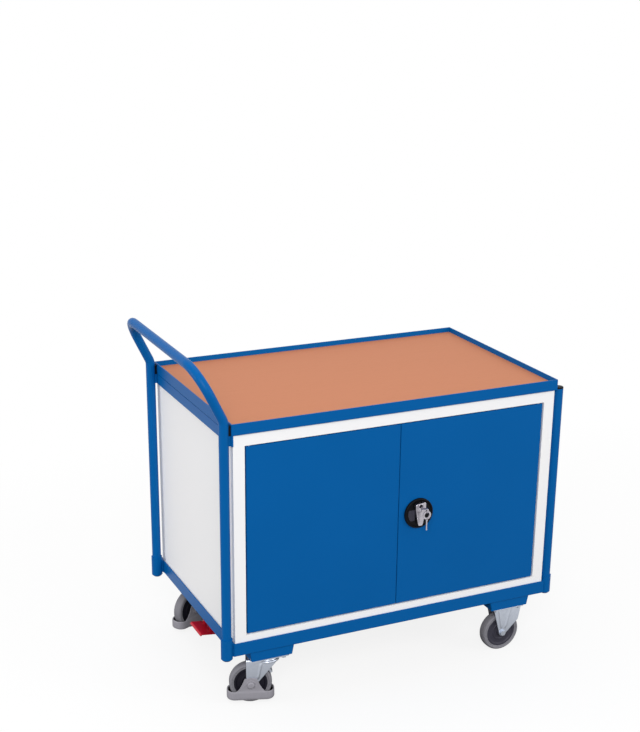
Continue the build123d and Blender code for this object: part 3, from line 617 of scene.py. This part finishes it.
# %% Fixed forks
plate_sheet, plate_round = 4.0, 0.8
plate_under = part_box("fixed_forks")[1].z / mm - wheel_radius - plate_sheet
fixed_foot, fixed_back, fixed_front = 11.0, -34.0, 63.0
fixed_knee = (54.0, 37.0)
plate_half_x, plate_half_y, plate_corner = 55.0, 40.0, 8.0
plate_ahead = 8.0
flare_radius, flare_steps = 5.0, 5
fixed_ribs = [(-3.0, -18.0, 12.0, 86.0, 1.9), (9.0, 26.0, 12.0, 86.0, 1.9)]


def fixed_leg(side):
    """One leg, flared out where it meets the plate."""
    start = plate_under - flare_radius
    edges = [(fixed_back, start)], [fixed_knee, (fixed_front, start)]
    rows = leg_rows(fixed_foot, *edges, fixed_ribs, side)
    xs = [point[0] for point in rows[-1]]
    for step in range(1, flare_steps + 1):
        angle = math.pi / 2 * step / flare_steps
        y = side * (leg_middle + flare_radius * (1 - math.cos(angle)))
        rows.append([(x, y, start + flare_radius * math.sin(angle)) for x in xs])
    return stretched(rows)


def top_plate():
    """The bolted plate, with round corners."""
    x, y = plate_half_x, plate_half_y
    outline = soften([(-x, -y), (x, -y), (x, y), (-x, y)], plate_corner, 6)
    lift = Matrix.Translation((plate_ahead, 0, plate_under)) @ laid_flat
    return moved(slab(outline, 0.0, plate_sheet), lift)


for end in ("front", "rear"):
    place = wheel_place(f"{end}_fixed")
    legs = joined(fixed_leg(-1), fixed_leg(1))
    fork = piece(f"{end}_fixed_fork", legs, place, "root", "zinc_plated_steel", "fixed_forks")
    thicken(fork, fork_sheet)
    plate = piece(f"{end}_fixed_plate", top_plate(), place, "root", "zinc_plated_steel")
    ease_edges(plate, plate_round * mm)
print("fixed forks under a plate at", round(plate_under + wheel_radius, 1), "mm")

# %% [markdown]
# ## Foot guards
# A grey nylon guard hangs on each swivel castor's axle and keeps toes from the wheel. It is one moulding:
# a ring round the wheel, whose long sides rise in a bell over the axle. The ring is walked once, and at
# each step a column of points goes from the hem up to the height that the guard has there. The ring is a
# little proud of the flanks, and its hem is drawn in, as a mould needs it. A domed cap in a shallow cup
# covers the axle bolt on each side.

# %% Foot guards
guard_half_length, guard_half_width, guard_corner = 66.5, 24.2, 21.0
guard_sheet, shade_wall_sheet, shade_wall_gap = 3.0, 1.0, 2.2
guard_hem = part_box("front_wheel_guard")[0].z / mm - wheel_radius
ring_top = guard_hem + 26.0
ring_proud, hem_draw = 1.3, 1.5
bell_half, bell_top, bell_dome, bell_power = 18.0, 19.5, 2.0, 1.85
dome_flat = 4.0
side_steps, corner_steps, bell_steps = 48, 8, 12


def guard_path():
    """Points and outward directions round the guard, seen from above."""
    straight, flat = guard_half_length - guard_corner, guard_half_width - guard_corner
    half = [(-straight + 2 * straight * i / side_steps, -guard_half_width, 0, -1) for i in range(side_steps)]
    for centre_y, start in ((-flat, -math.pi / 2), (flat, 0.0)):
        for step in range(corner_steps + 1):
            angle = start + math.pi / 2 * step / corner_steps
            dx, dy = math.cos(angle), math.sin(angle)
            half.append((straight + guard_corner * dx, centre_y + guard_corner * dy, dx, dy))
    return half[:-1] + [(-x, -y, -dx, -dy) for x, y, dx, dy in half[:-1]]


def guard_top(x):
    """Height of the guard's upper edge: ring, concave flank, domed top over the axle."""
    reach, straight = abs(x), guard_half_length - guard_corner
    share = min(max((straight - reach) / (straight - bell_half), 0.0), 1.0)
    dome = bell_dome * (1 - ease(reach, dome_flat, bell_half))
    return ring_top + (bell_top - ring_top) * share ** bell_power + dome


def wheel_guard():
    """Columns from the hem to the upper edge, all the way round."""
    path = guard_path()
    rows = []
    hem_steps = [guard_hem + rise for rise in (0.0, 0.6, 1.6, 3.0, 9.0, 16.0, 21.0, 24.4)]
    for row in range(len(hem_steps) + bell_steps):
        points = []
        for x, y, dx, dy in path:
            if row < len(hem_steps):
                z = hem_steps[row]
            else:
                share = (row - len(hem_steps) + 1) / bell_steps
                z = hem_steps[-1] + (guard_top(x) - hem_steps[-1]) * share
            out = ring_proud * (1 - ease(z, ring_top - 3, ring_top + 2))
            out -= hem_draw * (1 - ease(z, guard_hem, guard_hem + 3))
            points.append((x + dx * out, y + dy * out, z))
        rows.append(points)
    return stretched(rows, closed=True)


def painted_shade_wall():
    """A black sheet on the ring's inner wall: painted shade where the ring's inside lies in shadow."""
    heights = (guard_hem + 2.0, ring_top - 1.0)
    return stretched([[(x - dx * shade_wall_gap, y - dy * shade_wall_gap, z) for x, y, dx, dy in guard_path()]
                      for z in heights], closed=True)


def bolt_cap(side):
    """A shallow cup in the flank with a domed cap over the axle bolt."""
    flank = guard_half_width + guard_sheet / 2
    outline = [(14.2, flank - 0.5), (13.4, flank + 1.6), (11.8, flank + 1.6), (10.8, flank + 0.3),
               (10.2, flank + 0.8), (9.9, flank + 5.0), (7.5, flank + 7.0), (0.1, flank + 7.3),
               (0.1, flank - 0.5)]
    return lathe(soften([(r, side * y) for r, y in outline], 0.9), 64)


for end in ("front", "rear"):
    place, body = wheel_place(f"{end}_swivel"), f"{end}_swivel"
    guard = piece(f"{end}_foot_guard", wheel_guard(), place, body, "grey_plastic", f"{end}_wheel_guard")
    thicken(guard, guard_sheet)
    # A thin black sheet inside the ring: painted shade on the ring's inner wall.
    shade_wall = piece(f"{end}_painted_shade_wall", painted_shade_wall(), place, body, "black_plastic")
    thicken(shade_wall, shade_wall_sheet)
    caps = joined(bolt_cap(-1), bolt_cap(1))
    piece(f"{end}_bolt_caps", caps, place, body, "grey_plastic", crease=55)
print("guards hang", round(guard_hem + wheel_radius, 1), "mm above the floor")

# %% [markdown]
# ## Lock
# The right door is worked with a turn grip: a satin nickel casting in a dished black rosette, with a lock
# cylinder in its head. A key is left in the cylinder and a second one hangs from it on a split ring. The
# rosette, the cylinder and the ring are turned, and the grip and the keys are cut from outlines.

# %% Lock
lock_place = Matrix.Translation(joints["lock_grip_turn"]["pos_m"])
key_place = Matrix.Translation(joints["key_turn"]["pos_m"])
door_face = joints["lock_grip_turn"]["pos_m"][1] / mm
grip_face = joints["key_turn"]["pos_m"][1] / mm - door_face
rosette_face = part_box("lock_rosette")[0].y / mm - door_face
rosette_radius = (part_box("lock_rosette")[1].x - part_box("lock_rosette")[0].x) / 2 / mm
dish_face = rosette_face + 4.0
grip_depth, grip_round = 10.0, 1.2
face_rim, face_step, face_sink = 2.2, 0.8, 0.6
spindle_radius, collar_radius = 8.2, 11.0
grip_outline = [(-16.5, 20.0), (-16.5, 30.0), (-13.0, 33.0), (13.0, 36.0), (16.5, 33.5), (16.5, 18.0),
                (8.0, -29.0), (5.5, -35.0), (-5.5, -35.0), (-8.0, -29.0)]
crescent_radius, crescent_edge, crescent_start = 34.0, -13.0, 160


def rosette():
    """A black dish with a raised, rounded rim."""
    rim = rosette_radius
    outline = [(spindle_radius, 0.0), (spindle_radius, dish_face), (24.0, dish_face + 0.4),
               (rim - 9, dish_face + 1.2), (rim - 5.5, dish_face - 0.6), (rim - 4.2, rosette_face),
               (rim - 1.4, rosette_face), (rim, rosette_face + 2.4), (rim, 0.0)]
    return lathe(soften(outline, 1.4), 128)


def painted_light_crescent():
    """A paler crescent beside the grip: painted light on the left side of the dish."""
    angles = [math.radians(crescent_start + 5 * step) for step in range(13)]
    rim = [(crescent_radius * math.cos(a), crescent_radius * math.sin(a)) for a in angles]
    return slab(soften(rim + [(crescent_edge, rim[-1][1]), (crescent_edge, rim[0][1])], 2.0),
                dish_face - 0.5, dish_face + 1.0)


def turn_grip():
    """A tapered bar with a framed face, on a round collar."""
    under = grip_face + grip_depth
    bar = slab(soften(grip_outline, 4.5), grip_face, under)
    face = min(bar.faces, key=lambda f: f.calc_center_median().y)
    bmesh.ops.inset_region(bar, faces=[face], thickness=face_rim, depth=0.0)
    bmesh.ops.inset_region(bar, faces=[face], thickness=face_step, depth=-face_sink)
    collar = [(spindle_radius, under - 1), (collar_radius - 0.5, under - 1), (collar_radius, under + 1),
              (collar_radius, dish_face - 0.3), (spindle_radius, dish_face - 0.3)]
    return joined(bar, lathe(soften(collar, 0.8), 64))


def plug_face():
    """The dark face of the lock cylinder, round the key."""
    return lathe(soften([(0.1, -0.7), (6.0, -0.7), (6.0, 1.0), (0.1, 1.0)], 0.2), 64)


def cylinder_ring():
    """The rim of the lock cylinder, set in the grip's head."""
    outline = [(6.1, 1.2), (8.6, 1.2), (8.6, -0.6), (7.8, -1.1), (6.1, -0.6)]
    return lathe(soften(outline, 0.35), 64)


piece("door_rosette", rosette(), lock_place, "right_door", "black_plastic", "lock_rosette", crease=50)
# A paler crescent on the dish's left side, in dark grey: painted light where the lamp falls on the dish.
piece("rosette_painted_light", painted_light_crescent(), lock_place, "right_door", "dark_grey_plastic")
piece("plug_face", plug_face(), key_place, "key", "black_plastic")
grip = piece("turn_grip", turn_grip(), lock_place, "lock_grip", "nickel_plated_zinc", "lock_grip")
ease_edges(grip, grip_round * mm, 3)
piece("cylinder_ring", cylinder_ring(), key_place, "lock_grip", "nickel_plated_zinc")
print("grip face stands", round(-grip_face, 1), "mm off the door")

# %% [markdown]
# The keys are stamped from 2.2 mm sheet. The one in the lock lies flat, so that its oval bow is seen edge
# on. The spare one hangs from it on a split ring, two turns of wire side by side, and shows its round bow
# and notched blade. A bow is a flat loop between an outer and an inner outline with as many points.

# %% Keys
key_sheet = 2.2
bow_half_x, bow_half_y = 11.0, 6.0
slot_half, slot_radius = 5.0, 2.5
stem_half, neck_half, neck_length = 3.5, 2.6, 3.0
blade_half, blade_edge, blade_cuts = 2.8, 2.3, 5
spare_radius, spare_hole = 13.0, 8.0
ring_wire, solid_wire = 0.6, 0.9
bow_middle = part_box("key")[0].y / mm + bow_half_y - door_face - grip_face
ring_low, ring_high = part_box("key_ring")
ring_radius = (ring_high.z - ring_low.z) / 2 / mm - solid_wire
spare_low, spare_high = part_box("spare_key")
around = [2 * math.pi * i / 48 for i in range(48)]


def flat_loop(outer, inner):
    """A sheet between two outlines of (x, z) points, pushed through its thickness along Y."""
    half = key_sheet / 2
    lines = ((outer, -half), (outer, half), (inner, half), (inner, -half), (outer, -half))
    bm = stretched([[(x, y, z) for x, z in line] for line, y in lines], closed=True)
    bmesh.ops.remove_doubles(bm, verts=bm.verts, dist=0.001)
    return bm


def oval_bow():
    """The bow of the key in the lock, with a long slot."""
    outer = [(bow_half_x * math.cos(a), bow_half_y * math.sin(a)) for a in around]
    inner = [(slot_half * min(max(1.6 * math.cos(a), -1), 1) + slot_radius * math.cos(a),
              slot_radius * math.sin(a)) for a in around]
    return flat_loop(outer, inner)


def round_bow():
    """The bow of the spare key, with a round hole."""
    outer, inner = [[(r * math.cos(a), r * math.sin(a)) for a in around] for r in (spare_radius, spare_hole)]
    return flat_loop(outer, inner)


def stem():
    """The shoulder between the bow and the plug."""
    start = -bow_middle - bow_half_y + 1
    outline = [(-stem_half, start), (-stem_half, neck_length), (-neck_half, neck_length), (-neck_half, 0.1),
               (neck_half, 0.1), (neck_half, neck_length), (stem_half, neck_length), (stem_half, start)]
    return slab(outline, -key_sheet / 2, key_sheet / 2)


def notched_blade(top, low):
    """A blade with cuts along one edge."""
    outline = [(-blade_half, top), (-blade_half, top - 5), (-blade_edge, top - 6), (-blade_edge, low + 2)]
    outline += [(-1.0, low), (1.0, low), (blade_edge - 0.2, low + 2)]
    step = (top - 8 - low - 3) / blade_cuts
    for cut in range(blade_cuts):
        z = low + 3 + cut * step
        floor = blade_edge - 0.8 - 0.4 * (cut % 3)
        outline += [(blade_edge, z), (floor, z + 0.35 * step), (floor, z + 0.65 * step)]
    outline += [(blade_edge, top - 7), (blade_half, top - 5), (blade_half, top)]
    return slab(outline, -key_sheet / 2, key_sheet / 2)


def split_ring():
    """Two turns of wire, side by side."""
    wire = [(ring_radius + ring_wire * math.cos(math.pi * i / 6), ring_wire * math.sin(math.pi * i / 6))
            for i in range(12)]
    turns = [lathe([(r, y + side * ring_wire) for r, y in wire], 64) for side in (-1, 1)]
    return moved(joined(*turns), Matrix.Rotation(math.pi / 2, 4, "Z"))


bow = moved(oval_bow(), Matrix.Translation((0, bow_middle, 0)) @ laid_flat)
key = joined(bow, moved(stem(), laid_flat))
piece("key_in_lock", key, key_place, "key", "nickel_plated_zinc", "key")
ring_middle = (ring_low + ring_high) / 2
piece("split_ring", split_ring(), Matrix.Translation(ring_middle), "key", "nickel_plated_zinc", "key_ring")
spare_middle = spare_high.z - spare_radius * mm
spare = joined(round_bow(), notched_blade(-spare_radius + 2, (spare_low.z - spare_middle) / mm))
spare_place = Matrix.Translation((ring_middle.x, ring_middle.y, spare_middle))
piece("spare_key_blank", spare, spare_place, "key", "nickel_plated_zinc", "spare_key")
print("keys hang to", round(spare_low.z / mm, 1), "mm")

# %% [markdown]
# ## Brake pedal
# One red foot pedal locks both swivel castors. It is a pressed plate, tilted a little, with a rounded nose
# and a short turned-down lip. The plate is a stretched sheet again, walked from the back edge over the
# nose and down the lip, and two cranked arms carry it on the shaft.

# %% Brake pedal
pedal_low, pedal_high = (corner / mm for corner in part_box("brake_pedal"))
pedal_joint = Vector(joints["brake_pedal_press"]["pos_m"]) / mm
pedal_sheet, nose_lean = 4.0, 0.9
pedal_depth, pedal_lip, pedal_nose = 48.0, 7.0, 4.0
pedal_tilt = math.radians(7)
pedal_out, pedal_top = pedal_low.x + nose_lean, 126.0
pedal_half, pedal_middle = (pedal_high.y - pedal_low.y) / 2, (pedal_high.y + pedal_low.y) / 2
pedal_columns, plate_steps, nose_steps = 24, 12, 6
arm_from_middle, arm_half, toe_half, arm_round = 26.0, 4.0, 3.6, 0.8


def pedal_plate():
    """The plate with its nose and lip, drawn from back to front round its outer upper edge."""
    inside = pedal_sheet / 2
    flat = pedal_depth - inside - pedal_nose
    profile = [(pedal_depth - flat * step / plate_steps, -inside) for step in range(plate_steps + 1)]
    for step in range(1, nose_steps + 1):
        angle = math.pi / 2 * step / nose_steps
        x = inside + pedal_nose * (1 - math.sin(angle))
        profile.append((x, -inside - pedal_nose * (1 - math.cos(angle))))
    profile += [(inside, -inside - pedal_nose - 0.5), (inside, -pedal_lip + 0.2)]
    ys = [-pedal_half + 2 * pedal_half * i / pedal_columns for i in range(pedal_columns + 1)]
    return stretched([[(x, y, z) for y in ys] for x, z in profile])


def pedal_arm(y):
    """A cranked arm from the shaft out under the beam and down to the plate."""
    hub = (pedal_joint.x, pedal_joint.z, 8.0)
    knee = (pedal_out + 38.0, pedal_joint.z - 6.0, 6.0)
    toe = (pedal_out + 42.0, pedal_top - 3.1, 5.5)
    upper = slab(round_bar(hub, knee), y - arm_half, y + arm_half)
    return joined(upper, slab(round_bar(knee, toe), y - toe_half, y + toe_half))


plate_place = Matrix.Translation(Vector((pedal_out, pedal_middle, pedal_top)) * mm)
plate_place @= Matrix.Rotation(pedal_tilt, 4, "Y")
plate = piece("pedal_plate", pedal_plate(), plate_place, "brake_pedal", "red_powder_coat", "brake_pedal")
thicken(plate, pedal_sheet)
arms = joined(pedal_arm(pedal_middle - arm_from_middle), pedal_arm(pedal_middle + arm_from_middle))
arms = piece("pedal_arms", arms, in_frame, "brake_pedal", "red_powder_coat")
ease_edges(arms, arm_round * mm)
print("pedal plate", round(2 * pedal_half, 1), "mm wide")

# %% [markdown]
# ## Studio
# A pale floor that runs to the horizon, an even surround and a few broad soft lamps: nothing that draws
# the eye. The camera and the bench's reflections see the background and the floor as white. In an oval
# patch round and under the bench the reflections lose that glow, a painted shade placed by position on the
# floor, and see the grey floor with its own shadow instead. Round the bench the camera sees part glow and
# part pale paint, and the paint keeps the bench's soft shadow. For all other light the floor is a mid grey,
# so that the underside of the bench stays dark.

# %% Studio
surround_light = 0.52
seen_glow, mirrored_glow = 0.84, 0.97
floor_half = 40.0
shade_half_x, shade_half_y = 0.75, 0.5
shade_start, shade_end, paint_start, paint_end = 0.7, 1.3, 1.0, 4.0
white = (1.0, 1.0, 1.0, 1.0)

world = bpy.data.worlds.new("studio")
world.use_nodes = True
bpy.context.scene.world = world
sky = world.node_tree
sky_rays = add(sky, "ShaderNodeLightPath", {}).outputs
glow = add(sky, "ShaderNodeBackground", {"Color": white, "Strength": surround_light})
backdrop = add(sky, "ShaderNodeBackground", {"Color": white, "Strength": 1.0})
bounced = add(sky, "ShaderNodeMath", {0: sky_rays["Is Glossy Ray"], 1: sky_rays["Is Transmission Ray"]},
              operation="MAXIMUM")
seen = add(sky, "ShaderNodeMath", {0: sky_rays["Is Camera Ray"], 1: bounced.outputs[0]}, operation="MAXIMUM")
surround = add(sky, "ShaderNodeMixShader", {0: seen.outputs[0], 1: glow.outputs[0], 2: backdrop.outputs[0]})
sky.links.new(surround.outputs[0], sky.nodes["World Output"].inputs["Surface"])

floor_finish, tree, shader, place = start_finish("pale_floor", Roughness=0.9, Specular_IOR_Level=0.0)
rays = add(tree, "ShaderNodeLightPath", {}).outputs
tone = add(tree, "ShaderNodeMix", {0: rays["Is Camera Ray"], COLOUR_A: linear("#606060"),
                                   COLOUR_B: linear("#f5f5f5")}, data_type="RGBA")
tree.links.new(tone.outputs[COLOUR_OUT], shader.inputs["Base Color"])
patch = add(tree, "ShaderNodeMapping", {"Vector": place, "Scale": (1 / shade_half_x, 1 / shade_half_y, 1.0)})
away = add(tree, "ShaderNodeVectorMath", {0: patch.outputs["Vector"]}, operation="LENGTH")
# The reflections' glow fades out in an oval round the bench: painted shade in what the floor mirrors.
open_floor = add(tree, "ShaderNodeMapRange", {"Value": away.outputs["Value"], "From Min": shade_start,
                                              "From Max": shade_end, "To Max": mirrored_glow})
bounced = add(tree, "ShaderNodeMath", {0: rays["Is Glossy Ray"], 1: rays["Is Transmission Ray"]},
              operation="MAXIMUM")
mirrored = add(tree, "ShaderNodeMath", {0: bounced.outputs[0], 1: open_floor.outputs["Result"]},
               operation="MULTIPLY")
far_floor = add(tree, "ShaderNodeMapRange", {"Value": away.outputs["Value"], "From Min": paint_start,
                                             "From Max": paint_end, "To Min": seen_glow})
seen = add(tree, "ShaderNodeMath", {0: rays["Is Camera Ray"], 1: far_floor.outputs["Result"]},
           operation="MULTIPLY")
share = add(tree, "ShaderNodeMath", {0: seen.outputs[0], 1: mirrored.outputs[0]}, operation="MAXIMUM")
pale = add(tree, "ShaderNodeEmission", {"Color": white, "Strength": 1.0})
ground = add(tree, "ShaderNodeMixShader", {0: share.outputs[0], 1: shader.outputs[0], 2: pale.outputs[0]})
tree.links.new(ground.outputs[0], tree.nodes["Material Output"].inputs["Surface"])

floor_mesh = bpy.data.meshes.new("floor")
corners = [(-floor_half, -floor_half, 0), (floor_half, -floor_half, 0),
           (floor_half, floor_half, 0), (-floor_half, floor_half, 0)]
floor_mesh.from_pydata(corners, [], [(0, 1, 2, 3)])
floor_mesh.materials.append(floor_finish)
floor = bpy.data.objects.new("floor", floor_mesh)
bpy.context.scene.collection.objects.link(floor)


def soft_lamp(name, place, aim, size, power):
    """A square area lamp that looks at a point."""
    lamp = bpy.data.objects.new(name, bpy.data.lights.new(name, "AREA"))
    bpy.context.scene.collection.objects.link(lamp)
    lamp.data.size = size
    lamp.data.energy = power
    lamp.location = place
    lamp.rotation_euler = (Vector(aim) - Vector(place)).to_track_quat("-Z", "Y").to_euler()


bench_middle = (0, 0, 0.5)
soft_lamp("key_lamp", (-2.2, -4.6, 3.4), bench_middle, 2.4, 186)
soft_lamp("fill_lamp", (3.6, -3.6, 2.2), bench_middle, 2.4, 62)
soft_lamp("top_lamp", (0, 0.6, 4.2), bench_middle, 2.6, 30)
soft_lamp("end_lamp", (-4.2, 0.8, 0.95), (0, 0.1, 0.3), 1.6, 48)

bpy.context.scene.view_settings.view_transform = "Standard"
print("studio ready")
